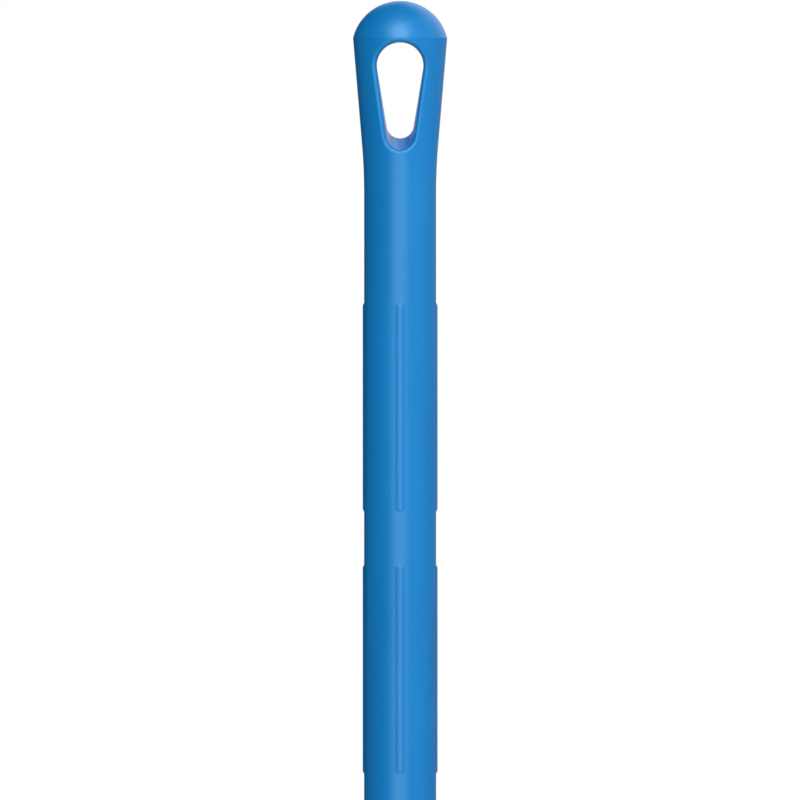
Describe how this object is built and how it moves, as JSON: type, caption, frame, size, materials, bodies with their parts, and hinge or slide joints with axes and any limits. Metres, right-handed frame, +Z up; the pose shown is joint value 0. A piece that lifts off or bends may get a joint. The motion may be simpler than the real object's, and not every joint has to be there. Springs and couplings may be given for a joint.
{
  "type": "tool handle",
  "caption": "Long round moulded tool handle with ribbed grip bands, a domed flared end with a teardrop hanging eye, and a coarse thread at the foot.",
  "frame": {"origin": "centre of the thread's tip face, the lowest point of the upright handle", "axes": "+Z up along the handle's axis towards the domed end; the hanging eye runs through along Y, and the faces it opens in look along -Y (front) and +Y (back)"},
  "size_m": [0.0418, 0.0418, 1.5],
  "materials": {
    "coloured_polypropylene": "moulded, semi-gloss, faintly textured",
    "reinforced_composite": "pulled glass-fibre composite, ground",
    "seal_rubber": "moulded rubber",
    "stainless_pin": "ground"
  },
  "bodies": {
    "root": {"hanging_end": "coloured_polypropylene", "shaft_skin": "coloured_polypropylene", "thread_end": "coloured_polypropylene", "core_tube": "reinforced_composite", "upper_seal_ring": "seal_rubber", "lower_seal_ring": "seal_rubber", "upper_lock_pin": "stainless_pin", "lower_lock_pin": "stainless_pin"}
  },
  "joints": []
}
